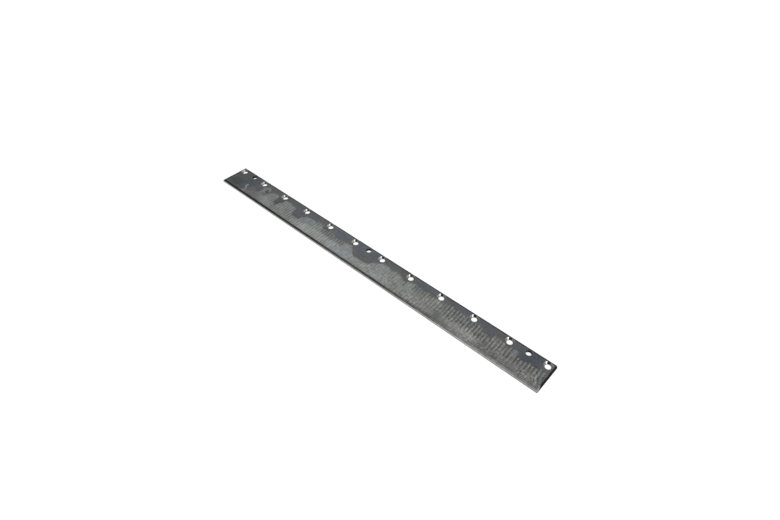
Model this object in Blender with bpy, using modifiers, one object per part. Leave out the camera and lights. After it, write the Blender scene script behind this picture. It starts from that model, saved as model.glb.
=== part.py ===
"""Mower bedknife: one flat steel bar with a ground front edge, leaning sheared ends and a row
of countersunk screw holes, with three plain holes between them, along its back edge.

Metres, +Z up. The bar lies on the face that seats against the bed bar, countersinks up.
+X runs along the bar and +Y towards its back edge. The origin is the middle of the underside.
"""

import math

import bmesh
import bpy
from mathutils import Matrix, Vector

MM = 0.001

# The bar: width across the faces, and thickness of the rolled strip.
BAR_WIDTH = 50.8 * MM
BAR_THICKNESS = 4.0 * MM

# Front edge: the bevel on the countersunk side, and the broken corners of the other arrises.
BEVEL_WIDTH = 3.2 * MM
BEVEL_DROP = 0.8 * MM
CORNER_BREAK = 0.3 * MM

# Screw row: equal pitch, the row's distance from the back edge, and the last screw's centre
# to the bar's end, measured on the countersunk face.
SCREW_COUNT = 12
SCREW_PITCH = 59.0 * MM
ROW_TO_BACK = 7.3 * MM
SCREW_TO_END = 8.25 * MM

# Sheared ends: how far the foot of the end stands out beyond its top edge.
SHEAR_LEAN = 1.7 * MM

# Screw holes: clearance bore under an 82 degree countersink.
SCREW_BORE = 8.7 * MM
COUNTERSINK_MOUTH = 13.2 * MM
COUNTERSINK_ANGLE = math.radians(82.0)

# Plain holes: drilled on the same row, midway between two screws.
PLAIN_BORE = 8.4 * MM

# How far a cutter runs past the face that it cuts, and the sides of a round hole.
CUTTER_OVERRUN = 2.0 * MM
HOLE_SIDES = 32
MERGE_DISTANCE = 0.001 * MM

# Values that follow from the sizes above.
ROW_LENGTH = (SCREW_COUNT - 1) * SCREW_PITCH
END_X = ROW_LENGTH / 2 + SCREW_TO_END
ROW_Y = BAR_WIDTH / 2 - ROW_TO_BACK

PART_NAME = "mower_bedknife"
NODE_NAME = "bedknife"


def clear_scene():
    for item in list(bpy.data.objects):
        bpy.data.objects.remove(item, do_unlink=True)


def new_collection(name):
    collection = bpy.data.collections.new(name)
    bpy.context.scene.collection.children.link(collection)
    return collection


def steel_material():
    """Rolled tool steel with its dark mill scale, part ground."""
    material = bpy.data.materials.new("scaled_steel")
    material.use_nodes = True
    shader = material.node_tree.nodes["Principled BSDF"]
    shader.inputs["Base Color"].default_value = (0.17, 0.175, 0.18, 1.0)
    shader.inputs["Metallic"].default_value = 1.0
    shader.inputs["Roughness"].default_value = 0.45
    return material


def mesh_from_modifiers(source, name):
    """The source as its modifiers or curve settings make it, with doubled points merged."""
    evaluated = source.evaluated_get(bpy.context.evaluated_depsgraph_get())
    mesh = bpy.data.meshes.new_from_object(evaluated)
    mesh.name = name
    shape = bmesh.new()
    shape.from_mesh(mesh)
    bmesh.ops.remove_doubles(shape, verts=shape.verts, dist=MERGE_DISTANCE)
    shape.to_mesh(mesh)
    shape.free()
    return mesh


def section_outline():
    """The bar's section as (y, z) points, anticlockwise from the front foot."""
    front = -BAR_WIDTH / 2
    back = BAR_WIDTH / 2
    top = BAR_THICKNESS
    return [
        (front + CORNER_BREAK, 0.0),
        (back - CORNER_BREAK, 0.0),
        (back, CORNER_BREAK),
        (back, top - CORNER_BREAK),
        (back - CORNER_BREAK, top),
        (front + BEVEL_WIDTH, top),
        (front, top - BEVEL_DROP),
        (front, CORNER_BREAK),
    ]


def rolled_bar(collection):
    """The section drawn as a flat curve and extruded, longer than the finished bar."""
    curve = bpy.data.curves.new("bar_section", "CURVE")
    curve.dimensions = "2D"
    curve.fill_mode = "BOTH"
    curve.extrude = END_X + SHEAR_LEAN + CUTTER_OVERRUN
    outline = section_outline()
    spline = curve.splines.new("POLY")
    spline.points.add(len(outline) - 1)
    for point, (y, z) in zip(spline.points, outline):
        point.co = (y, z, 0.0, 1.0)
    spline.use_cyclic_u = True

    section = bpy.data.objects.new("bar_section", curve)
    collection.objects.link(section)
    bpy.context.view_layer.update()
    mesh = mesh_from_modifiers(section, NODE_NAME)
    bpy.data.objects.remove(section, do_unlink=True)

    # The curve's own X, Y and Z become the bar's Y, Z and X.
    mesh.transform(Matrix(((0, 0, 1), (1, 0, 0), (0, 1, 0))).to_4x4())
    bar = bpy.data.objects.new(NODE_NAME, mesh)
    collection.objects.link(bar)
    return bar


def shear_end(bar, side):
    """Crop one end on a plane that leans outwards from the top edge to the foot."""
    top_edge = Vector((side * END_X, 0.0, BAR_THICKNESS))
    outward = Vector((side * BAR_THICKNESS, 0.0, SHEAR_LEAN)).normalized()
    shape = bmesh.new()
    shape.from_mesh(bar.data)
    everything = shape.verts[:] + shape.edges[:] + shape.faces[:]
    cut = bmesh.ops.bisect_plane(
        shape, geom=everything, plane_co=top_edge, plane_no=outward, clear_outer=True)
    rim = [item for item in cut["geom_cut"] if isinstance(item, bmesh.types.BMEdge)]
    bmesh.ops.edgeloop_fill(shape, edges=rim)
    bmesh.ops.recalc_face_normals(shape, faces=shape.faces)
    shape.to_mesh(bar.data)
    shape.free()


def turned_cutter(name, profile, collection):
    """A solid turned about Z from (radius, height) points that run down its outer side."""
    mesh = bpy.data.meshes.new(name + "_profile")
    points = [(radius, 0.0, height) for radius, height in profile]
    edges = [(i, i + 1) for i in range(len(points) - 1)]
    mesh.from_pydata(points, edges, [])
    cutter = bpy.data.objects.new(name + "_profile", mesh)
    collection.objects.link(cutter)
    screw = cutter.modifiers.new("turn", "SCREW")
    screw.axis = "Z"
    screw.steps = HOLE_SIDES
    screw.render_steps = HOLE_SIDES
    screw.use_merge_vertices = True
    screw.merge_threshold = MERGE_DISTANCE
    bpy.context.view_layer.update()
    turned = mesh_from_modifiers(cutter, name)
    bpy.data.objects.remove(cutter, do_unlink=True)
    turned.shade_smooth()
    turned.set_sharp_from_angle(angle=math.radians(30.0))
    return turned


def countersink_profile():
    """Cone down to the bore, then the bore down past the underside."""
    slope = math.tan(COUNTERSINK_ANGLE / 2)
    bore = SCREW_BORE / 2
    mouth = COUNTERSINK_MOUTH / 2
    cone_depth = (mouth - bore) / slope
    above = BAR_THICKNESS + CUTTER_OVERRUN
    shoulder = BAR_THICKNESS - cone_depth
    below = min(0.0, shoulder) - CUTTER_OVERRUN
    return [
        (0.0, above),
        (mouth + CUTTER_OVERRUN * slope, above),
        (bore, shoulder),
        (bore, below),
        (0.0, below),
    ]


def drill_profile():
    """A plain drill through both faces."""
    above = BAR_THICKNESS + CUTTER_OVERRUN
    return [
        (0.0, above),
        (PLAIN_BORE / 2, above),
        (PLAIN_BORE / 2, -CUTTER_OVERRUN),
        (0.0, -CUTTER_OVERRUN),
    ]


def stand_cutter(cutter_mesh, x, name, collection):
    """Stand a cutter on the screw row at x."""
    cutter = bpy.data.objects.new(name, cutter_mesh)
    cutter.location = (x, ROW_Y, 0.0)
    cutter.hide_render = True
    cutter.display_type = "WIRE"
    collection.objects.link(cutter)


def screw_x(number):
    """Place along the bar of a screw; a half number is midway between two screws."""
    return number * SCREW_PITCH - ROW_LENGTH / 2


def build_bedknife():
    clear_scene()
    part = new_collection(PART_NAME)
    cutters = new_collection("cutters")

    bar = rolled_bar(part)
    shear_end(bar, -1)
    shear_end(bar, 1)
    bar.data.materials.append(steel_material())

    countersink = turned_cutter("countersink", countersink_profile(), cutters)
    for number in range(SCREW_COUNT):
        name = f"countersink_{number + 1:02d}"
        stand_cutter(countersink, screw_x(number), name, cutters)

    # The plain holes stand in the first, the middle and the last gap between screws.
    drill = turned_cutter("plain_drill", drill_profile(), cutters)
    last_gap = SCREW_COUNT - 2
    for gap in sorted({0, last_gap // 2, last_gap}):
        name = f"plain_drill_{gap + 1:02d}"
        stand_cutter(drill, screw_x(gap + 0.5), name, cutters)

    # One cut takes every cutter in the collection out of the bar.
    holes = bar.modifiers.new("holes", "BOOLEAN")
    holes.operation = "DIFFERENCE"
    holes.solver = "EXACT"
    holes.operand_type = "COLLECTION"
    holes.collection = cutters


build_bedknife()
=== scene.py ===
import math

import bmesh
import bpy
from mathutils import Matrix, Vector


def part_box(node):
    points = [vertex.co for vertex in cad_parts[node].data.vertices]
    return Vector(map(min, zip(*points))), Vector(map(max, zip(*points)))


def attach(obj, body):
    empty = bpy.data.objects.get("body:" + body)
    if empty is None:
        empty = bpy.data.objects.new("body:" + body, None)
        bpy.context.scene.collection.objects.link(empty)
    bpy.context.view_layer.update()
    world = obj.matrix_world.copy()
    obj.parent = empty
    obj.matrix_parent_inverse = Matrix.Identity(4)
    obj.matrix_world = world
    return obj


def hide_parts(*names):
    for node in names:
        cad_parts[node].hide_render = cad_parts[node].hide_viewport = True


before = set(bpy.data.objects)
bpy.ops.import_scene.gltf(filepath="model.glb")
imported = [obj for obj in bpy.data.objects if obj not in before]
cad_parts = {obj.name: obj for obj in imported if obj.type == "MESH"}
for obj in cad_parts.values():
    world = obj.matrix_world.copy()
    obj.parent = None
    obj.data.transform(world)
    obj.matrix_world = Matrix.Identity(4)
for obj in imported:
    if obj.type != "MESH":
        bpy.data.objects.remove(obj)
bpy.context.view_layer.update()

MM = 0.001

# The bar. One strip of rolled tool steel, sheared to length so that both ends lean outwards to
# the foot, with the front edge ground to a bevel on the countersunk side and every other long
# corner just broken. It starts as a block of the CAD bar's size and is cut to shape.
bar_low, bar_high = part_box("bedknife")
bar_thickness = bar_high[2] - bar_low[2]
shear_lean = 1.7 * MM
bevel_width = 3.2 * MM
bevel_drop = 0.8 * MM
corner_break = 0.3 * MM


def deselect_all():
    for item in bpy.context.selected_objects:
        item.select_set(False)


def pick(bar, kind, test):
    """In edit mode, select the vertices, edges or faces that pass the test, and nothing else."""
    bpy.ops.mesh.select_mode(type=kind)
    bpy.ops.mesh.select_all(action="DESELECT")
    shape = bmesh.from_edit_mesh(bar.data)
    parts = {"VERT": shape.verts, "EDGE": shape.edges, "FACE": shape.faces}[kind]
    for part in parts:
        if test(part):
            part.select_set(True)
    shape.select_flush_mode()
    bmesh.update_edit_mesh(bar.data)


deselect_all()
middle = [(a + b) / 2 for a, b in zip(bar_low, bar_high)]
size = [b - a for a, b in zip(bar_low, bar_high)]
bpy.ops.mesh.primitive_cube_add(size=1.0)
bar = bpy.context.object
bar.name = "steel_bar"
bpy.ops.object.mode_set(mode="EDIT")
bpy.ops.transform.resize(value=size)
bpy.ops.transform.translate(value=middle)
for side in (-1, 1):
    pick(bar, "VERT", lambda vert: vert.co.z > middle[2] and vert.co.x * side > 0)
    bpy.ops.transform.translate(value=(-side * shear_lean, 0, 0))
bpy.ops.mesh.select_all(action="SELECT")
bpy.ops.mesh.bisect(
    plane_co=(0, bar_low[1], bar_high[2] - bevel_drop),
    plane_no=Vector((0, -bevel_drop, bevel_width)).normalized(), use_fill=True, clear_outer=True)

# The long corners are broken with a small round, the ground ones less so. Shearing has drawn the
# top edge of each end down in a wider round, and left the foot sharp.
bevel_y = bar_low[1] + bevel_width
drawn_round = 1.1 * MM
sharp_round = 0.1 * MM
ground_round = 0.12 * MM


def runs_along(edge):
    a, b = (vert.co for vert in edge.verts)
    return abs(a.x - b.x) > abs(a.y - b.y) + abs(a.z - b.z)


def is_ground(edge):
    return all(v.co.y < bevel_y + MM and v.co.z > bar_low[2] + MM for v in edge.verts)


def is_drawn(edge):
    return not runs_along(edge) and all(v.co.z > bar_high[2] - 2 * bevel_drop for v in edge.verts)


for width, test in (
        (corner_break, lambda edge: runs_along(edge) and not is_ground(edge)),
        (ground_round, lambda edge: runs_along(edge) and is_ground(edge)),
        (drawn_round, is_drawn),
        (sharp_round, lambda edge: not runs_along(edge) and not is_drawn(edge))):
    pick(bar, "EDGE", test)
    bpy.ops.transform.edge_bevelweight(value=width / drawn_round)
bpy.ops.object.mode_set(mode="OBJECT")
rounding = bar.modifiers.new("broken_corners", "BEVEL")
rounding.limit_method = "WEIGHT"
rounding.width = drawn_round
rounding.segments = 5
bpy.ops.object.modifier_apply(modifier=rounding.name)

# The screw holes. Twelve clearance holes with an 82 degree countersink for flat head screws,
# all on one line near the back edge. One cutter is shaped from a cylinder and copied, and the
# mouth of each hole gets a narrow deburred lip.
screw_count = 12
screw_pitch = 59.0 * MM
row_y = bar_high[1] - 7.3 * MM
screw_bore = 8.7 * MM
mouth = 13.2 * MM
cone_slope = math.tan(math.radians(41.0))
cone_depth = (mouth - screw_bore) / 2 / cone_slope
lip = 0.18 * MM
overrun = 2.0 * MM
hole_sides = 72


def cylinder(radius, bottom, top):
    deselect_all()
    bpy.ops.mesh.primitive_cylinder_add(
        vertices=hole_sides, radius=radius, depth=top - bottom, location=(0, 0, 0))
    tool = bpy.context.object
    bpy.ops.object.mode_set(mode="EDIT")
    bpy.ops.transform.translate(value=(0, 0, (top + bottom) / 2))
    return tool


def extrude_top(tool, rise, radius, new_radius):
    """In edit mode, raise the tool's top face and open it out."""
    top = max(vert.co.z for vert in tool.data.vertices)
    bpy.ops.mesh.extrude_region_move(TRANSFORM_OT_translate={"value": (0, 0, rise)})
    scale = new_radius / radius
    bpy.ops.transform.resize(value=(scale, scale, 1))
    return new_radius


tool = cylinder(screw_bore / 2, bar_low[2] - overrun, bar_high[2] - cone_depth)
pick(tool, "FACE", lambda face: face.normal.z > 0.9)
reach = extrude_top(tool, cone_depth - lip, screw_bore / 2, mouth / 2 - lip * cone_slope)
reach = extrude_top(tool, lip, reach, mouth / 2 + lip)
reach = extrude_top(tool, overrun, reach, reach + overrun * 2.4)
bpy.ops.object.mode_set(mode="OBJECT")
screw_places = [(number - (screw_count - 1) / 2) * screw_pitch for number in range(screw_count)]


def stand_tools(tool, places):
    """Copies of a tool, each with its own mesh, standing on the screw row."""
    stood = []
    for x in places:
        copy = tool.copy()
        copy.data = tool.data.copy()
        copy.location = (x, row_y, 0)
        bpy.context.collection.objects.link(copy)
        stood.append(copy)
    bpy.data.objects.remove(tool, do_unlink=True)
    return stood


def cut_out(bar, tools):
    """Join the tools and take them out of the bar."""
    deselect_all()
    for tool in tools:
        tool.select_set(True)
    bpy.context.view_layer.objects.active = tools[0]
    bpy.ops.object.join()
    joined = bpy.context.object
    deselect_all()
    bar.select_set(True)
    bpy.context.view_layer.objects.active = bar
    cut = bar.modifiers.new("holes", "BOOLEAN")
    cut.operation = "DIFFERENCE"
    cut.solver = "EXACT"
    cut.object = joined
    bpy.ops.object.modifier_apply(modifier=cut.name)
    bpy.data.objects.remove(joined, do_unlink=True)


hole_tools = stand_tools(tool, screw_places)

# The plain holes. Three straight holes on the same row, midway in the first, the middle and the
# last gap between screws, drilled before the bar was hardened, so that their walls are black.
plain_bore = 8.4 * MM
plain_places = [(gap - (screw_count - 2) / 2) * screw_pitch for gap in (0, 5, 10)]

tool = cylinder(plain_bore / 2, bar_low[2] - overrun, bar_high[2] - lip)
pick(tool, "FACE", lambda face: face.normal.z > 0.9)
reach = extrude_top(tool, lip, plain_bore / 2, plain_bore / 2 + lip)
reach = extrude_top(tool, overrun, reach, reach + overrun)
bpy.ops.object.mode_set(mode="OBJECT")
hole_tools += stand_tools(tool, plain_places)
cut_out(bar, hole_tools)

# The flat faces end at sharp rims, so that the rounds and the holes beside them don't bend their light.
deselect_all()
bar.select_set(True)
bpy.context.view_layer.objects.active = bar
bpy.ops.object.mode_set(mode="EDIT")
pick(bar, "EDGE", lambda edge: edge.calc_face_angle(0.0) > math.radians(0.5) and any(
    face.calc_area() > 100 * MM * MM for face in edge.link_faces))
bpy.ops.mesh.mark_sharp()
bpy.ops.object.mode_set(mode="OBJECT")

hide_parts("bedknife")
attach(bar, "root")

# The countersunk face. Rolled with a blue-grey mill scale, then ground in strokes across the bar
# from the front edge. The strokes stop short of the screw row at a ragged comb of tooth marks,
# and they miss the far end, two low spots under screws and a half-round about the middle hole.


def add_node(tree, kind, **settings):
    node = tree.nodes.new(kind)
    for name, value in settings.items():
        setattr(node, name, value)
    return node


def feed(tree, socket, value):
    """Link an output to a socket, or set the socket where the value is a plain one."""
    if isinstance(value, bpy.types.NodeSocket):
        tree.links.new(value, socket)
    else:
        socket.default_value = value


def calc(tree, operation, *values):
    """A Math node of two or more values, worked from left to right."""
    result = values[0]
    for value in values[1:]:
        node = add_node(tree, "ShaderNodeMath", operation=operation)
        feed(tree, node.inputs[0], result)
        feed(tree, node.inputs[1], value)
        result = node.outputs[0]
    return result


def ramp(tree, value, start, end, low=0.0, high=1.0, kind="SMOOTHSTEP"):
    """From low to high as the value goes from start to end."""
    node = add_node(tree, "ShaderNodeMapRange", interpolation_type=kind)
    for socket, number in zip(node.inputs, (value, start, end, low, high)):
        feed(tree, socket, number)
    return node.outputs[0]


def mix(tree, share, first, second):
    """One colour into another; a plain colour is given as (red, green, blue)."""
    node = add_node(tree, "ShaderNodeMix", data_type="RGBA")
    feed(tree, node.inputs[0], share)
    for socket, colour in ((node.inputs[6], first), (node.inputs[7], second)):
        feed(tree, socket, (*colour, 1) if isinstance(colour, tuple) else colour)
    return node.outputs[2]


def shade(tree, share, colour, factor):
    """The colour multiplied by a grey factor."""
    node = add_node(tree, "ShaderNodeMix", data_type="RGBA", blend_type="MULTIPLY")
    feed(tree, node.inputs[0], share)
    feed(tree, node.inputs[6], colour)
    feed(tree, node.inputs[7], factor)
    return node.outputs[2]


def bar_place(tree):
    """The place on the bar in millimetres: its vector, and x, y and z apart."""
    place = add_node(tree, "ShaderNodeTexCoord").outputs["Object"]
    scaled = add_node(tree, "ShaderNodeVectorMath", operation="SCALE")
    feed(tree, scaled.inputs[0], place)
    scaled.inputs["Scale"].default_value = 1 / MM
    apart = add_node(tree, "ShaderNodeSeparateXYZ")
    feed(tree, apart.inputs[0], scaled.outputs[0])
    return scaled.outputs[0], *apart.outputs


def grain(tree, place, lengths, detail=3.0, roughness=0.55, twist=0.0, shift=0.0, turn=0.0):
    """Noise from 0 to 1 whose blotches have the given lengths in mm along x, y and z."""
    mapping = add_node(tree, "ShaderNodeMapping", vector_type="TEXTURE")
    feed(tree, mapping.inputs["Vector"], place)
    mapping.inputs["Location"].default_value = (shift * 31, shift * 17, 0)
    mapping.inputs["Rotation"].default_value = (0, 0, math.radians(turn))
    mapping.inputs["Scale"].default_value = lengths
    cloud = add_node(tree, "ShaderNodeTexNoise")
    feed(tree, cloud.inputs["Vector"], mapping.outputs[0])
    cloud.inputs["Scale"].default_value = 1.0
    cloud.inputs["Detail"].default_value = detail
    cloud.inputs["Roughness"].default_value = roughness
    cloud.inputs["Distortion"].default_value = twist
    return cloud.outputs["Fac"]


def along_bar(tree, x, points, low, high):
    """A value that follows (x, value) points along the bar, x in mm."""
    first, last = points[0][0], points[-1][0]
    share = ramp(tree, x, first, last, kind="LINEAR")
    spread = add_node(tree, "ShaderNodeFloatCurve")
    curve = spread.mapping.curves[0]
    places = [((px - first) / (last - first), (value - low) / (high - low)) for px, value in points]
    curve.points[0].location = places[0]
    curve.points[1].location = places[-1]
    for place in places[1:-1]:
        curve.points.new(*place)
    for point in curve.points:
        point.handle_type = "VECTOR"
    spread.mapping.update()
    feed(tree, spread.inputs["Value"], share)
    return ramp(tree, spread.outputs[0], 0.0, 1.0, low, high, "LINEAR")


def spot(tree, place, centre, radii, turn=0.0, core=0.5):
    """1 inside an oval on the face, fading from its core to 0 at its rim."""
    mapping = add_node(tree, "ShaderNodeMapping", vector_type="TEXTURE")
    feed(tree, mapping.inputs["Vector"], place)
    mapping.inputs["Location"].default_value = (*centre, 4)
    mapping.inputs["Rotation"].default_value = (0, 0, math.radians(turn))
    mapping.inputs["Scale"].default_value = (*radii, 20)
    far = add_node(tree, "ShaderNodeVectorMath", operation="LENGTH")
    feed(tree, far.inputs[0], mapping.outputs[0])
    return ramp(tree, far.outputs["Value"], 1.0, core)


def steel(name, roughness=None, metallic=1.0, specular=0.5):
    """A new steel material: its material, its tree and its shader."""
    material = bpy.data.materials.new(name)
    material.use_nodes = True
    shader = material.node_tree.nodes["Principled BSDF"]
    shader.inputs["Metallic"].default_value = metallic
    shader.inputs["Specular IOR Level"].default_value = specular
    if roughness is not None:
        shader.inputs["Roughness"].default_value = roughness
    return material, material.node_tree, shader


def raise_bump(tree, shader, height, depth):
    """Bump of the given depth in mm."""
    bump = add_node(tree, "ShaderNodeBump")
    bump.inputs["Distance"].default_value = depth * MM
    feed(tree, bump.inputs["Height"], height)
    feed(tree, shader.inputs["Normal"], bump.outputs[0])


# Where the grinding stops, as (x, y) in mm along the bar: below the line is ground, above it is
# scale. Then how soft that line is, how strong the strokes are by the screws and by the front
# edge, how light and how warm the ground steel is, and how light and how blue the scale is.
grinding_edge = [
    (-340, -34), (-300, -30), (-292, -23), (-284, -17), (-272, -13), (-262, -8), (-252, -3), (-246, -3),
    (-240, -1), (-236.5, 7), (-228, 13), (-215.6, 13), (-214, -3), (-212.6, -8), (-210.5, -5), (-208.5, -5),
    (-206.5, -9), (-204.8, -13), (-203.4, -4), (-200.6, 1), (-198.2, 1), (-196.6, 11), (-190, 14), (-183, 12.5), (-168, 12),
    (-166.3, 5), (-164.2, -1), (-161.8, -7.5), (-158.5, -9), (-156, -5), (-150, -7), (-143.6, -8), (-142.2, 3),
    (-139.5, 2), (-137, 8), (-127, 10), (-116, 9), (-111, 12), (-99, 13), (-96, 8), (-90, 4.5), (-84, 4.5), (-80, 8), (-74, 8.2),
    (-67, 6), (-60, 2), (-54, 4), (-45, 5.5), (-36, 6), (-28, 9), (-22, 3), (-15, -4), (-10, -7),
    (11, -6.6), (18, -4.8), (21.5, -3), (23.5, 3), (27.5, 5), (29, 6.5), (34, 8.5), (38, 12.4), (50, 11.8),
    (56, 10), (62, 12), (72, 12), (80, 8.5), (84, 5.5), (89, 6), (94, 10), (101, 11), (106, 12.5), (109, 9), (114, 11), (123, 9),
    (129, 13), (137, 8), (146, 10.5), (155, 12), (178, 12.4), (205, 12.4), (217, 12.4), (224, 10.5), (228, 8), (243, 3), (245, 12.5), (254, 12.5), (260, 10.5), (263.5, 7), (268, 7.5), (274, 9), (276, 10), (286, 10), (287.5, -0.5), (299, 0.5),
    (306, 5), (313, 3), (321, 6.5), (328, 5.5), (340, 5.5)]
edge_softness = [
    (-340, 7), (-290, 7), (-262, 6), (-245, 4), (-225, 4), (-212, 1.4), (-196, 1.4), (-180, 3), (-165, 1.4),
    (-140, 1.4), (-120, 3.5), (-90, 3.5), (-60, 3), (-30, 1.2), (22, 1.2), (31, 5), (84, 5.5), (100, 3), (120, 3), (170, 1.6),
    (215, 1.6), (240, 1.4), (340, 1.4)]
strokes_above = [
    (-340, 0.1), (-262, 0.3), (-240, 0.4), (-200, 0.8), (-160, 0.75), (-120, 0.5), (-90, 0.8), (-60, 0.7),
    (-42, 0.35), (-20, 0.1), (20, 0.1), (40, 0.12), (75, 0.4), (100, 0.35), (118, 0.45), (130, 0.35),
    (145, 0.75), (165, 1.05), (190, 1.3), (215, 1.3), (240, 1.15), (265, 1.1), (290, 1.4), (325, 1.3), (340, 0.6)]
strokes_below = [
    (-340, 0.1), (-262, 0.42), (-240, 0.55), (-200, 0.85), (-160, 0.9), (-120, 0.55), (-80, 0.65), (-58, 0.3), (-40, 0.25),
    (0, 0.32), (30, 0.1), (60, 0.1), (80, 0.4), (120, 0.5), (140, 0.3), (160, 0.12), (200, 0.1),
    (240, 0.42), (280, 0.2), (300, 0.3), (318, 0.75), (328, 0.6), (340, 0.2)]
tone_above = [
    (-340, 0.15), (-275, 0.15), (-262, 0.155), (-245, 0.18), (-228, 0.213), (-205, 0.2), (-180, 0.2),
    (-150, 0.205), (-135, 0.215), (-118, 0.238), (-98, 0.232), (-86, 0.22), (-66, 0.228), (-50, 0.23),
    (-36, 0.235), (-20, 0.235), (20, 0.232), (42, 0.247), (60, 0.235), (80, 0.22), (96, 0.21), (112, 0.212),
    (122, 0.197), (140, 0.226), (156, 0.206), (175, 0.182), (200, 0.165), (220, 0.166), (242, 0.154), (247, 0.176), (258, 0.19),
    (270, 0.178), (290, 0.146), (308, 0.143), (324, 0.17), (331, 0.13), (340, 0.13)]
tone_below = [
    (-340, 0.15), (-275, 0.15), (-262, 0.14), (-245, 0.17), (-225, 0.237), (-205, 0.195), (-180, 0.2),
    (-160, 0.208), (-140, 0.235), (-122, 0.3), (-98, 0.27), (-80, 0.27), (-60, 0.29), (-40, 0.27), (-20, 0.268),
    (0, 0.235), (20, 0.245), (42, 0.258), (60, 0.262), (80, 0.199), (100, 0.208), (120, 0.242), (138, 0.207),
    (160, 0.185), (180, 0.215), (200, 0.23), (222, 0.24), (240, 0.152), (250, 0.149), (262, 0.164), (280, 0.168), (293, 0.149), (304, 0.164), (318, 0.168), (326, 0.155),
    (340, 0.14)]
rubbed_rise = [
    (-340, 0), (-135, 0), (-122, 3.5), (-70, 3.5), (-45, 2), (-20, 0), (112, 0), (126, 3), (150, 3.5), (170, 4),
    (235, 4), (245, 0.5), (256, 5), (274, 5), (284, 0), (340, 0)]
warmth = [
    (-340, 0.5), (-260, 0.55), (-230, 0.25), (-190, 0.42), (-150, 0.4), (-125, 0.0), (-95, 0.4), (-50, 0), (-25, 0.1),
    (5, 0.6), (45, 0.4), (72, 0.6), (85, 0.85), (100, 0.6), (112, 0.75), (130, 0.9), (170, 0.75), (200, 0.75),
    (225, 0.9), (240, 0.7), (255, 1.0), (270, 0.9), (300, 0.85), (322, 0.9), (328, 0.2), (340, 0.1)]
scale_light = [
    (-340, 0.88), (-300, 0.85), (-278, 0.91), (-266, 1.1), (-240, 1.09), (-215, 1.05), (-205, 0.88),
    (-196, 1.02), (-180, 1.12), (-150, 1.06), (-125, 1.15), (-86, 1.16), (-62, 1.3), (-40, 1.23),
    (-10, 1.18), (15, 1.15), (30, 1.07), (80, 1.04), (107, 1.08), (125, 1.1), (140, 1.16), (170, 1.08),
    (220, 1.08), (240, 1.0), (272, 0.99), (290, 0.92), (303, 0.8), (316, 0.9), (326, 1.12), (340, 1.07)]
scale_blue = [
    (-340, 0.2), (-312, 0.3), (-297, 1.0), (-280, 1.0), (-268, 0.2), (-230, 0.25), (-205, 0.1), (-180, 0.2),
    (-155, 0.6), (-125, 0.9), (-95, 0.9), (-75, 1.0), (-60, 1.4), (-40, 1.1), (-20, 1.2), (0, 0.8), (25, 0.6),
    (50, 0.3), (80, 0.05), (105, 0.75), (125, 0.95), (150, 0.65), (190, 0.9), (212, 0.6), (235, 1.1), (262, 0.6),
    (285, 0.7), (297, 1.6), (310, 1.8), (320, 1.1), (330, 0.5), (340, 0.2)]

face_steel, tree, shader = steel("scaled_and_ground_face", None, 0.5, 0.15)
place, x, y, z = bar_place(tree)

# The strokes lie a fixed step apart and lean a little, and each breaks up along its length.
stroke_step = 5.322
stroke_lean = 0.045
last_stroke = 329.5
broken = grain(tree, place, (4.5, 6, 6), 2.0, 0.6, shift=2.0)
wander = calc(tree, "MULTIPLY", calc(tree, "SUBTRACT", grain(tree, place, (11, 7, 9), 2.0), 0.5), 1.6)
curl = calc(tree, "MULTIPLY", ramp(tree, y, -7.0, -18.0, 0.0, -3.2), spot(tree, place, (321, -14), (13, 17), 0, 0.5))
across = calc(tree, "ADD", x, calc(tree, "MULTIPLY", y, stroke_lean), wander, curl)
turns = calc(tree, "MULTIPLY", calc(tree, "SUBTRACT", across, last_stroke), math.tau / stroke_step)
wave = add_node(tree, "ShaderNodeMath", operation="COSINE")
feed(tree, wave.inputs[0], turns)
stroke = calc(tree, "MULTIPLY", wave.outputs[0], -1.0)
upper = ramp(tree, calc(tree, "ADD", y, calc(tree, "MULTIPLY", broken, 4.0)), -8.0, -5.5)


def by_height(tree, x, below, above, low, high, share):
    """A value that follows one list of points near the front edge and another near the screws."""
    lower = along_bar(tree, x, below, low, high)
    rise = calc(tree, "SUBTRACT", along_bar(tree, x, above, low, high), lower)
    return calc(tree, "ADD", lower, calc(tree, "MULTIPLY", rise, share))


strength = by_height(tree, x, strokes_below, strokes_above, 0.0, 1.5, upper)
whole_turns = calc(tree, "DIVIDE", turns, math.tau)
number = add_node(tree, "ShaderNodeMath", operation="FLOOR")
feed(tree, number.inputs[0], whole_turns)
tooth = add_node(tree, "ShaderNodeTexWhiteNoise", noise_dimensions="1D")
feed(tree, tooth.inputs["W"], number.outputs[0])
tooth = calc(tree, "SUBTRACT", tooth.outputs["Value"], 0.5)
reach = calc(tree, "ADD", calc(tree, "MULTIPLY", stroke, 0.9), calc(tree, "MULTIPLY", tooth, 2.4))
reach = calc(tree, "MULTIPLY", reach, strength)
ragged = calc(tree, "MULTIPLY", calc(tree, "SUBTRACT", grain(tree, place, (2.2, 4, 4), 3.0, 0.6), 0.5), 6.0)
edge = along_bar(tree, x, grinding_edge, -34.0, 14.0)
below = calc(tree, "SUBTRACT", calc(tree, "ADD", edge, reach, ragged), y)
softness = along_bar(tree, x, edge_softness, 0.0, 8.0)
ground = ramp(tree, calc(tree, "DIVIDE", below, softness), -0.6, 0.8)

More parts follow.
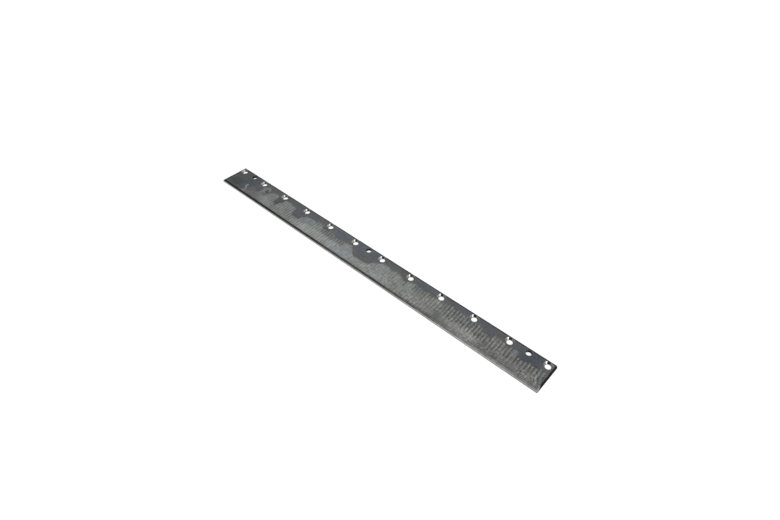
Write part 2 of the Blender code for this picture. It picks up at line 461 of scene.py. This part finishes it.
# The light hooked mark at the far end is rubbed through the scale, and so are the forked one and
# the broad stroke by the last plain hole, which parts in two further down.
hook = spot(tree, place, (-247.2, 8.4), (9.6, 9.4), 0, 0.76)
eye = spot(tree, place, (-245.4, 9.0), (4.3, 3.7), 0, 0.5)
slot = spot(tree, place, (-243.2, 5.0), (6.6, 3.3), -14, 0.55)
wedge = spot(tree, place, (-241.4, -1.5), (3.0, 6.5), 18, 0.3)
gap = calc(tree, "MULTIPLY", spot(tree, place, (-238.4, 8.4), (3.4, 4.2), 0, 0.4), 0.85)
hook = calc(tree, "SUBTRACT", hook, calc(tree, "MAXIMUM", eye, slot, gap))
hook = calc(tree, "MAXIMUM", hook, calc(tree, "MULTIPLY", spot(tree, place, (-243, 8), (1.8, 1.6), 0, 0.3), 0.4))
hook = calc(tree, "MULTIPLY", hook, ramp(tree, broken, 0.3, 0.6, 0.8, 1.0))
stem = spot(tree, place, (-251.5, 0), (4.5, 8), 0, 0.4)
hook = calc(tree, "MAXIMUM", hook, calc(tree, "MULTIPLY", stem, 0.8), 0.0)
fork = calc(tree, "MAXIMUM", spot(tree, place, (-286.8, -5.6), (2.9, 5.2), 0, 0.5),
            spot(tree, place, (-283.6, -10.6), (4.8, 2.6), -42, 0.5),
            spot(tree, place, (-280.6, -17.0), (3.0, 8.5), 0, 0.55))
broad = calc(tree, "MULTIPLY", ramp(tree, x, 276.2, 278.8), ramp(tree, x, 286.8, 284.8),
             ramp(tree, y, -3.5, -0.5), ramp(tree, calc(tree, "ADD", y, calc(tree, "MULTIPLY", ragged, 0.4)), 11.2, 9.4))
broad = calc(tree, "MAXIMUM", broad, spot(tree, place, (279.4, -5.0), (2.0, 9), 3, 0.4),
             spot(tree, place, (284.4, -7.5), (2.0, 10), 3, 0.4))
broad = calc(tree, "MULTIPLY", broad, ramp(tree, broken, 0.3, 0.6, 0.75, 1.0))
bare = calc(tree, "MAXIMUM", ground, hook, broad)
bare = calc(tree, "MULTIPLY", bare, calc(tree, "SUBTRACT", 1.0, calc(tree, "MULTIPLY", wedge, 0.8)))

# The scale: blue-grey and neutral by turns, green-black at the far end, with a fine rolling grain
# along the bar, specks, and a brown bloom where the grinding begins.
blue = calc(tree, "ADD", along_bar(tree, x, scale_blue, 0.0, 1.8),
            calc(tree, "MULTIPLY", calc(tree, "SUBTRACT", grain(tree, place, (16, 11, 12), 2.0), 0.5), 1.2))
scale_colour = mix(tree, ramp(tree, blue, 0.0, 2.0, kind="LINEAR"), (0.108, 0.108, 0.105), (0.087, 0.103, 0.127))
green_patch = calc(tree, "MULTIPLY", spot(tree, place, (-314, -9), (20, 14), 0, 0.4), 0.9)
scale_colour = mix(tree, green_patch, scale_colour, (0.070, 0.079, 0.077))
for centre, radii, colour in (((-209, 3), (9, 12), (0.090, 0.102, 0.098)),
                              ((-155, 3), (14, 15), (0.108, 0.107, 0.122))):
    patch = calc(tree, "MULTIPLY", spot(tree, place, centre, radii, 0, 0.5), 0.8)
    scale_colour = mix(tree, patch, scale_colour, colour)
brown_patch = calc(tree, "MULTIPLY", spot(tree, place, (-269, -7), (12, 10), 0, 0.5), 0.9)
scale_colour = mix(tree, brown_patch, scale_colour, (0.130, 0.128, 0.125))
browned = calc(tree, "MAXIMUM", spot(tree, place, (-13, 0), (11, 12), 0, 0.4),
               calc(tree, "MULTIPLY", spot(tree, place, (-38, 8), (16, 7), 0, 0.4), 0.8))
bloom = calc(tree, "MULTIPLY", ramp(tree, below, -9.0, -1.0), calc(tree, "ADD", calc(tree, "MULTIPLY", browned, 0.45), 0.5))
scale_colour = mix(tree, bloom, scale_colour, mix(tree, browned, (0.104, 0.105, 0.104), (0.118, 0.110, 0.104)))
rolled = grain(tree, place, (22, 1.7, 1.7), 3.0, 0.65)
specks = grain(tree, place, (2.1, 1.9, 1.9), 3.0, 0.7)
scale_tone = calc(tree, "MULTIPLY", along_bar(tree, x, scale_light, 0.0, 1.4),
                  ramp(tree, rolled, 0.3, 0.7, 0.82, 1.18), ramp(tree, specks, 0.3, 0.72, 0.76, 1.27))
lined = calc(tree, "MULTIPLY", spot(tree, place, (-262, 1.5), (7, 8), 0, 0.5),
             ramp(tree, grain(tree, place, (14, 1.5, 1.5), 1.0, shift=4.0), 0.42, 0.58))
lined = calc(tree, "MAXIMUM", lined, spot(tree, place, (-261.5, -2.6), (6, 1.8), 0, 0.3),
             calc(tree, "MULTIPLY", spot(tree, place, (-90, 8.5), (10, 4.5), 0, 0.4), 0.5))
scale_tone = calc(tree, "MULTIPLY", scale_tone, ramp(tree, calc(tree, "MAXIMUM", lined, eye, slot), 0.0, 1.0, 1.0, 0.7))
scale_colour = shade(tree, 1.0, scale_colour, scale_tone)

# The ground steel: its strokes light and dark by turns, with finer streaks and scratches along
# them. Near the front edge they blur into a rubbed band.
lifted = calc(tree, "SUBTRACT", y, along_bar(tree, x, rubbed_rise, 0.0, 5.0))
darker = ramp(tree, calc(tree, "ADD", lifted, calc(tree, "MULTIPLY", broken, 4.0)), -8.0, -5.5)
tone = by_height(tree, x, tone_below, tone_above, 0.0, 0.3, darker)
scratches = grain(tree, place, (0.6, 11, 11), 4.0, 0.65, turn=-3.0)
streaks = grain(tree, place, (1.7, 10, 10), 3.0, 0.6, turn=-3.0, shift=6.0)
tone = calc(tree, "MULTIPLY", tone, ramp(tree, scratches, 0.28, 0.72, 0.8, 1.2), ramp(tree, streaks, 0.3, 0.7, 0.84, 1.16))
swing = calc(tree, "MULTIPLY", stroke, strength, ramp(tree, broken, 0.3, 0.62, 0.2, 0.36))
tone = calc(tree, "MULTIPLY", tone, calc(tree, "ADD", swing, 1.0))
trough = calc(tree, "MULTIPLY", ramp(tree, stroke, 0.2, -0.8), strength)
pieces = grain(tree, place, (8, 3.4, 6), 1.0, 0.5, shift=9.0)
in_pieces = calc(tree, "MULTIPLY", ramp(tree, x, 128.0, 165.0), ramp(tree, x, 340.0, 225.0, 0.35, 1.0), upper)
pieced = calc(tree, "MULTIPLY", ramp(tree, pieces, 0.57, 0.42), in_pieces)
tone = calc(tree, "MULTIPLY", tone, ramp(tree, pieced, 0.0, 1.0, 1.03, 0.78, "LINEAR"))
rubbed = grain(tree, place, (3.6, 2.8, 3), 3.0, 0.6, twist=1.2)
rub_tone = calc(tree, "MULTIPLY", calc(tree, "SUBTRACT", ramp(tree, rubbed, 0.32, 0.68), 0.5),
                ramp(tree, upper, 0.0, 1.0, 1.0, 0.7), ramp(tree, x, -60.0, 60.0, 0.4, 0.66), ramp(tree, x, 190.0, 250.0, 1.0, 1.45),
                ramp(tree, spot(tree, place, (283, -15), (17, 9), 0, 0.5), 0.0, 1.0, 1.0, 0.45))
tone = calc(tree, "MULTIPLY", tone, calc(tree, "ADD", rub_tone, 1.0))
cloud = grain(tree, place, (24, 15, 18), 2.0, 0.5, shift=5.0)
tone = calc(tree, "MULTIPLY", tone, ramp(tree, cloud, 0.3, 0.7, 0.95, 1.05))

# Where the strokes only skim the scale they leave it showing: darker, greener combs.
skimmed = 0.0
for centre, radii, depth in (((-62, 0), (7, 6), 0.8), ((-78, 2.5), (24, 9), 1.0), ((-88, 7.5), (13, 6.5), 0.9), ((-106, 10), (12, 6), 0.8),
                             ((-48.5, 1.5), (13, 7), 1.0), ((124, 7), (24, 8.5), 0.8)):
    skim = calc(tree, "MULTIPLY", spot(tree, place, centre, radii, 0, 0.45), depth)
    skimmed = calc(tree, "MAXIMUM", skimmed, skim)
skimmed = calc(tree, "MULTIPLY", skimmed, ramp(tree, broken, 0.25, 0.6, 0.5, 1.0), ramp(tree, stroke, 1.0, -1.0, 0.45, 1.0))
tone = calc(tree, "MULTIPLY", tone, ramp(tree, skimmed, 0.0, 1.0, 1.0, 0.5, "LINEAR"))

# A faint cross pattern, where the stone was lifted between one pass and the next.
pass_turns = calc(tree, "MULTIPLY", calc(tree, "SUBTRACT", y, 0.8), math.tau / 7.0)
passes = add_node(tree, "ShaderNodeMath", operation="COSINE")
feed(tree, passes.inputs[0], pass_turns)
crossed = calc(tree, "MULTIPLY", passes.outputs[0], spot(tree, place, (187, 4), (18, 13), 0, 0.6), -0.12)
tone = calc(tree, "MULTIPLY", tone, calc(tree, "ADD", crossed, 1.0))

# Small places where the stone bit deeper and left the steel lighter, or skipped and left it dark.
for centre, radii, change in (((173, -10), (4.6, 2.2), 0.5), ((173, -17), (5, 4), -0.16), ((-250, -22), (44, 4.6), -0.2), ((10.5, -14.5), (4, 4), 0.2), ((109.5, -12.5), (4, 5), -0.22), ((-200, -9), (3, 6), 0.15), ((299, -3), (3, 4), -0.2), ((197, 4), (4, 3), -0.16), ((78, -11), (4, 4), 0.16), ((321, -8), (4, 6), 0.14), ((151, 7.5), (2.6, 2.2), 0.3), ((307, -15), (3, 2.2), 0.3),
                              ((159, -5.5), (4, 4), 0.28), ((210, -4.5), (2.4, 2.2), 0.2), ((262, -4), (13, 6), 0.22),
                              ((84, 7), (2.4, 3.6), -0.36), ((90.5, 3), (1.8, 8), -0.16), ((107, 8), (2.6, 2.4), -0.35),
                              ((248.5, 10), (3, 4), 0.25), ((-123, 5), (2.6, 4.6), -0.36), ((58, 9), (4, 2), -0.2)):
    bite = calc(tree, "MULTIPLY", spot(tree, place, centre, radii, 0, 0.3), change)
    tone = calc(tree, "MULTIPLY", tone, calc(tree, "ADD", bite, 1.0))

# Strokes that curl: arcs where the stone was swung, right of the middle and at the near end.
for centre, radii, turn in (((72, -7), (20, 15), -48), ((104, -12), (15, 10), 42), ((300, -15), (12, 6), 55),
                            ((252, -14), (10, 7), -60), ((230, -6), (10, 14), -24), ((320, -12), (12, 12), 14)):
    arcs = grain(tree, place, (1.6, 12, 6), 2.0, 0.6, turn=turn, shift=centre[0] / 50)
    swung = calc(tree, "MULTIPLY", spot(tree, place, centre, radii, 0, 0.35),
                 calc(tree, "SUBTRACT", ramp(tree, arcs, 0.38, 0.62), 0.5), 0.4)
    tone = calc(tree, "MULTIPLY", tone, calc(tree, "ADD", 1.0, swung))

# A smooth dark low spot, and the broad stroke's bluish steel.
smooth = calc(tree, "MAXIMUM", spot(tree, place, (163.7, -15.3), (8.2, 9.8), 14, 0.35),
              calc(tree, "MULTIPLY", spot(tree, place, (166, -21), (36, 7), 0, 0.4), 0.55))
tone = calc(tree, "ADD", calc(tree, "MULTIPLY", tone, calc(tree, "SUBTRACT", 1.0, smooth)),
            calc(tree, "MULTIPLY", smooth, 0.138))
broad_tone = calc(tree, "MULTIPLY", ramp(tree, streaks, 0.34, 0.66, 0.135, 0.24),
                  ramp(tree, rubbed, 0.32, 0.68, 0.86, 1.12))
tone = calc(tree, "ADD", calc(tree, "MULTIPLY", tone, calc(tree, "SUBTRACT", 1.0, broad)),
            calc(tree, "MULTIPLY", broad, broad_tone))

# Painted shade: the face darkens where it meets the bevel, apart from the near end, along a line by
# the arris, at the back edge, and where the ends are drawn down.
front_painted_shade = calc(tree, "MAXIMUM", ramp(tree, y, -22.3, -19.6, 0.66, 1.0), ramp(tree, x, 110.0, 190.0),
                  ramp(tree, x, -150.0, -260.0, 0.0, 0.95))
arris_painted_shade = calc(tree, "MULTIPLY", ramp(tree, y, -20.4, -21.6), ramp(tree, x, 225.0, 265.0, 0.0, 0.3))
arris_painted_shade = calc(tree, "MAXIMUM", arris_painted_shade,
                  calc(tree, "MULTIPLY", ramp(tree, y, -17.0, -20.4), ramp(tree, x, 95.0, 130.0, 0.0, 0.14)))
rim_painted_shade = calc(tree, "MULTIPLY", front_painted_shade, calc(tree, "SUBTRACT", 1.0, arris_painted_shade),
                ramp(tree, x, -327.4, -330.4, 1.0, 0.3), ramp(tree, y, 22.8, 24.2, 1.0, 0.26),
                calc(tree, "MAXIMUM", ramp(tree, x, 331.0, 332.6, 1.0, 0.5), ramp(tree, y, -13.0, -17.0)))
tint = mix(tree, along_bar(tree, x, warmth, 0.0, 1.0), (0.925, 0.99, 1.01), (1.012, 1.0, 0.935))
tint = mix(tree, calc(tree, "MAXIMUM", calc(tree, "MULTIPLY", trough, 0.5), skimmed), tint, (0.985, 1.01, 0.93))
drift = grain(tree, place, (15, 9, 12), 1.0, shift=7.0)
tint = shade(tree, 1.0, tint, mix(tree, ramp(tree, drift, 0.38, 0.62), (0.985, 1.01, 0.98), (1.006, 0.992, 1.028)))
tint = mix(tree, broad, tint, (0.98, 0.99, 1.05))
ground_colour = shade(tree, 1.0, tint, tone)
face_colour = mix(tree, bare, scale_colour, ground_colour)
fork_colour = mix(tree, ramp(tree, y, -9.0, -12.0), (0.25, 0.266, 0.278), (0.235, 0.228, 0.216))
face_colour = mix(tree, calc(tree, "MULTIPLY", fork, ramp(tree, broken, 0.3, 0.6, 0.8, 1.0)), face_colour, fork_colour)
hook_light = calc(tree, "MULTIPLY", hook, calc(tree, "SUBTRACT", 1.0, ground), 0.3)
face_colour = mix(tree, hook_light, face_colour, (0.26, 0.266, 0.262))
feed(tree, shader.inputs["Base Color"], shade(tree, 1.0, face_colour, rim_painted_shade))
feed(tree, shader.inputs["Roughness"], ramp(tree, bare, 0.0, 1.0, 0.5, 0.36))
height = calc(tree, "ADD", calc(tree, "MULTIPLY", scratches, bare), calc(tree, "MULTIPLY", specks, 0.5),
              calc(tree, "MULTIPLY", rubbed, 0.6), calc(tree, "MULTIPLY", trough, -0.8))
raise_bump(tree, shader, height, 0.03)

# The front edge. The bevel is dark along its far two thirds and bright towards the near end, a painted
# reflection. The upright face under it is freshly ground, with fine cross marks; its light rising towards
# the near end is a painted reflection, and its darker foot is painted shade.
# Painted reflection: how light the bevel is along the bar, from dark far off to bright at the near end.
bevel_painted_sheen = [
    (-340, 0.010), (-221, 0.012), (-177, 0.022), (-133, 0.028), (-88, 0.028), (-44, 0.055), (0, 0.058), (44, 0.044),
    (62, 0.048), (88, 0.085), (133, 0.115), (177, 0.165), (220, 0.21), (265, 0.21), (310, 0.18), (340, 0.18)]
# Painted reflection: how light the upright face is along the bar.
front_painted_sheen = [
    (-340, 0.2), (-200, 0.24), (-90, 0.30), (0, 0.35), (90, 0.39), (133, 0.49), (177, 0.53), (220, 0.5),
    (265, 0.48), (310, 0.42), (340, 0.44)]
bevel_steel, tree, shader = steel("front_bevel", 0.42)
place, x, y, z = bar_place(tree)
marks = grain(tree, place, (0.8, 20, 20), 3.0)
patches = grain(tree, place, (13, 30, 30), 3.0, 0.6)
tone = calc(tree, "MULTIPLY", along_bar(tree, x, bevel_painted_sheen, 0.0, 0.2),
            ramp(tree, marks, 0.3, 0.7, 0.82, 1.18), ramp(tree, patches, 0.3, 0.7, 0.75, 1.3))
feed(tree, shader.inputs["Base Color"], shade(tree, 1.0, mix(tree, 0.0, (1.0, 1.0, 0.99), (1, 1, 1)), tone))
raise_bump(tree, shader, marks, 0.02)

front_steel, tree, shader = steel("ground_front", 0.34)
place, x, y, z = bar_place(tree)
marks = grain(tree, place, (0.5, 20, 8), 4.0)
patches = grain(tree, place, (17, 30, 30), 3.0, 0.6, shift=3.0)
# The face is darker low down by the foot, a painted shade, and lighter high up, a painted reflection.
tone = calc(tree, "MULTIPLY", along_bar(tree, x, front_painted_sheen, 0.0, 0.6), ramp(tree, z, 1.3, 3.0, ramp(tree, x, 50.0, 130.0, 0.45, 0.2), 1.42),
            ramp(tree, calc(tree, "ADD", marks, patches), 0.7, 1.3, 0.85, 1.15))
feed(tree, shader.inputs["Base Color"], shade(tree, 1.0, mix(tree, 0.0, (1.0, 0.985, 0.965), (1, 1, 1)), tone))
raise_bump(tree, shader, marks, 0.02)

# The sheared ends: torn, black and dull, with a lighter rubbed corner at the front.
end_steel, tree, shader = steel("sheared_end", 0.7, 0.0, 0.0)
place, x, y, z = bar_place(tree)
tear = grain(tree, place, (2, 2.4, 0.8), 5.0, 0.7)
black = mix(tree, ramp(tree, tear, 0.35, 0.75), (0.020, 0.020, 0.020), (0.048, 0.048, 0.049))
climb = calc(tree, "ADD", z, calc(tree, "MULTIPLY", calc(tree, "ADD", y, 22.0), -0.53), calc(tree, "MULTIPLY", tear, 0.8))
corner = ramp(tree, climb, 0.2, 1.3)
rubbed_light = mix(tree, ramp(tree, y, -15.0, -23.0), (0.225, 0.223, 0.218), (0.33, 0.328, 0.32))
feed(tree, shader.inputs["Base Color"], mix(tree, corner, black, rubbed_light))
raise_bump(tree, shader, tear, 0.25)

# The countersinks are bright from the tool and turned in fine rings; the bores under them are darker,
# as painted shade down in the holes.
# The plain holes are black inside.
cone_steel, tree, shader = steel("countersink", 0.15)
shader.inputs["Specular Tint"].default_value = (0.5, 0.5, 0.5, 1)
place, x, y, z = bar_place(tree)
rings = grain(tree, place, (30, 30, 0.25), 2.0)
feed(tree, shader.inputs["Base Color"], mix(tree, rings, (0.28, 0.28, 0.275), (0.43, 0.43, 0.422)))
raise_bump(tree, shader, rings, 0.02)

bore_painted_shade, tree, shader = steel("screw_bore", 0.4)
place, x, y, z = bar_place(tree)
rings = grain(tree, place, (30, 30, 0.3), 2.0)
# The bore's dark colour is painted shade.
feed(tree, shader.inputs["Base Color"], mix(tree, rings, (0.08, 0.08, 0.079), (0.16, 0.16, 0.157)))
raise_bump(tree, shader, rings, 0.03)

black_bore, tree, shader = steel("plain_bore", 0.6, 0.0, 0.15)
place, x, y, z = bar_place(tree)
rings = grain(tree, place, (30, 30, 0.4), 2.0)
feed(tree, shader.inputs["Base Color"], mix(tree, rings, (0.008, 0.008, 0.009), (0.022, 0.022, 0.023)))
raise_bump(tree, shader, rings, 0.03)

# The seat face and the back edge keep the scale all over.
scale_steel, tree, shader = steel("mill_scale", 0.5, 0.5, 0.15)
place, x, y, z = bar_place(tree)
blotch = ramp(tree, grain(tree, place, (34, 26, 30), 3.0), 0.4, 0.65)
scale_colour = mix(tree, blotch, (0.090, 0.092, 0.092), (0.094, 0.102, 0.114))
rolled = grain(tree, place, (26, 0.9, 0.9), 3.0, 0.6)
specks = grain(tree, place, (1.3, 1.1, 1.1), 3.0, 0.7)
tone = calc(tree, "MULTIPLY", ramp(tree, rolled, 0.3, 0.7, 0.88, 1.12), ramp(tree, specks, 0.3, 0.75, 0.86, 1.25))
feed(tree, shader.inputs["Base Color"], shade(tree, 1.0, scale_colour, tone))
raise_bump(tree, shader, specks, 0.04)

# The broken corners are black and dull.
corner_steel, tree, shader = steel("broken_corner", 0.7, 0.0, 0.0)
place, x, y, z = bar_place(tree)
chips = grain(tree, place, (3, 0.6, 0.6), 3.0)
feed(tree, shader.inputs["Base Color"], mix(tree, chips, (0.018, 0.018, 0.019), (0.032, 0.033, 0.035)))
raise_bump(tree, shader, chips, 0.05)

finishes = [face_steel, bevel_steel, front_steel, end_steel, cone_steel, bore_painted_shade, black_bore, scale_steel,
            corner_steel]
bar.data.materials.clear()
for finish in finishes:
    bar.data.materials.append(finish)


def finish_of(face):
    """Which finish a face of the bar has, from its place and the way it faces."""
    centre = face.center
    normal = face.normal
    hole = min(math.hypot(centre.x - hx, centre.y - row_y) for hx in screw_places)
    plain = min(math.hypot(centre.x - hx, centre.y - row_y) for hx in plain_places)
    if plain < plain_bore / 2 + lip and abs(normal.z) < 0.95:
        return black_bore
    if hole < mouth / 2 + lip and abs(normal.z) < 0.97:
        return cone_steel if normal.z > 0.3 else bore_painted_shade
    if abs(normal.x) > 0.05:
        return end_steel
    if normal.z > 0.995:
        return face_steel
    if normal.y < -0.6:
        return front_steel
    if normal.z > 0.6 and centre.y < 0:
        return bevel_steel
    return scale_steel if max(abs(value) for value in normal) > 0.995 else corner_steel


for face in bar.data.polygons:
    face.material_index = finishes.index(finish_of(face))
deselect_all()
bar.select_set(True)
bpy.context.view_layer.objects.active = bar
bpy.ops.object.shade_smooth_by_angle(angle=math.radians(28))
print("STEEL BAR", len(bar.data.vertices), len(bar.data.polygons))
for n, finish in enumerate(finishes):
    faces = [f for f in bar.data.polygons if f.material_index == n]
    print("FINISH", finish.name, len(faces), round(sum(f.area for f in faces) * 1e6, 1))
check = bmesh.new()
check.from_mesh(bar.data)
print("OPEN", sum(1 for e in check.edges if len(e.link_faces) != 2), "VOL", check.calc_volume(signed=True) * 1e9)
check.free()

# The studio. A white floor under a white background, and soft light from above. A tall soft lamp
# stands off the near end, which the countersinks catch. The side of the room behind the camera's
# left is dark, as metal shows it.
deselect_all()
bpy.ops.mesh.primitive_plane_add(size=12.0, location=(0, 0, 0))
floor = bpy.context.object
floor.name = "floor"
floor_paint = bpy.data.materials.new("floor_white")
floor_paint.use_nodes = True
tree = floor_paint.node_tree
shader = tree.nodes["Principled BSDF"]
shader.inputs["Base Color"].default_value = (0.5, 0.5, 0.5, 1)
shader.inputs["Roughness"].default_value = 0.9
shader.inputs["Specular IOR Level"].default_value = 0.0
shader.inputs["Emission Color"].default_value = (1, 1, 1, 1)
rays = add_node(tree, "ShaderNodeLightPath").outputs
floor_glow = 0.66
from_bar = add_node(tree, "ShaderNodeVectorMath", operation="LENGTH")
feed(tree, from_bar.inputs[0], add_node(tree, "ShaderNodeTexCoord").outputs["Object"])
seen = calc(tree, "MULTIPLY", rays["Is Camera Ray"], ramp(tree, from_bar.outputs["Value"], 0.4, 1.1, floor_glow, 1.0))
mirrored = calc(tree, "MULTIPLY", calc(tree, "MAXIMUM", rays["Is Glossy Ray"], rays["Is Transmission Ray"]), floor_glow)
feed(tree, shader.inputs["Emission Strength"], calc(tree, "MAXIMUM", seen, mirrored))
floor.data.materials.append(floor_paint)

world = bpy.data.worlds.new("studio")
bpy.context.scene.world = world
world.use_nodes = True
tree = world.node_tree
background = tree.nodes["Background"]
rays = add_node(tree, "ShaderNodeLightPath").outputs
way = add_node(tree, "ShaderNodeTexCoord").outputs["Generated"]


def toward(turn, rise):
    """The unit vector that points that many degrees round from +X and up from the floor."""
    flat = math.cos(math.radians(rise))
    return (flat * math.cos(math.radians(turn)), flat * math.sin(math.radians(turn)), math.sin(math.radians(rise)))


def darkened(turn, rise, core, rim, level):
    """A round part of the sky at the given level, with full light beyond its rim, in degrees."""
    lined_up = add_node(tree, "ShaderNodeVectorMath", operation="DOT_PRODUCT")
    feed(tree, lined_up.inputs[0], way)
    lined_up.inputs[1].default_value = toward(turn, rise)
    return ramp(tree, lined_up.outputs["Value"], math.cos(math.radians(rim)), math.cos(math.radians(core)), 1.0, level)


height_of_way = add_node(tree, "ShaderNodeSeparateXYZ")
feed(tree, height_of_way.inputs[0], way)
horizon = ramp(tree, height_of_way.outputs[2], math.sin(math.radians(4)), math.sin(math.radians(30)), 0.62, 1.0)
flag = calc(tree, "MAXIMUM", darkened(-66, 31, 28, 39, 0.04),
            ramp(tree, height_of_way.outputs[2], math.sin(math.radians(23)), math.sin(math.radians(15)), 0.04, 0.7))
dimmed = calc(tree, "MULTIPLY", horizon, flag, darkened(-130, 18, 28, 45, 0.42), darkened(175, 4, 14, 30, 0.42),
              darkened(40, 4, 11, 24, 0.6))
glossy = rays["Is Glossy Ray"]
shown = calc(tree, "ADD", calc(tree, "MULTIPLY", glossy, dimmed),
             calc(tree, "MULTIPLY", calc(tree, "SUBTRACT", 1.0, glossy), 0.45))
white = calc(tree, "MAXIMUM", rays["Is Camera Ray"], rays["Is Transmission Ray"])
feed(tree, background.inputs["Strength"], calc(tree, "MAXIMUM", shown, white))
background.inputs["Color"].default_value = (1, 1, 1, 1)


def soft_lamp(name, place, aim, width, height, watts):
    lamp = bpy.data.lights.new(name, "AREA")
    lamp.shape = "RECTANGLE"
    lamp.size = width
    lamp.size_y = height
    lamp.energy = watts
    holder = bpy.data.objects.new(name, lamp)
    bpy.context.scene.collection.objects.link(holder)
    holder.location = place
    holder.rotation_euler = (Vector(aim) - Vector(place)).to_track_quat("-Z", "Y").to_euler()
    holder.visible_camera = False
    return holder


overhead = soft_lamp("overhead", (0.1, 0.1, 1.5), (0, 0, 0), 1.8, 1.4, 7.0)
overhead.visible_glossy = False
soft_lamp("near_end", (1.35, -0.12, 1.2), (0, 0, 0), 0.4, 1.9, 9.0)

bpy.context.scene.view_settings.view_transform = "Standard"

# The camera stands at the near end, in front of the ground edge, and looks down at the bar.
camera_data = bpy.data.cameras.new("camera")
camera_data.sensor_width = 36.0
camera_data.lens = 526.8 * 36.0 / 780
camera = bpy.data.objects.new("camera", camera_data)
bpy.context.scene.collection.objects.link(camera)
camera.location = (0.43612, -0.41236, 0.58283)
camera.rotation_euler = (math.radians(90 - 44.438), 0, math.radians(132.209 - 90))
bpy.context.scene.camera = camera
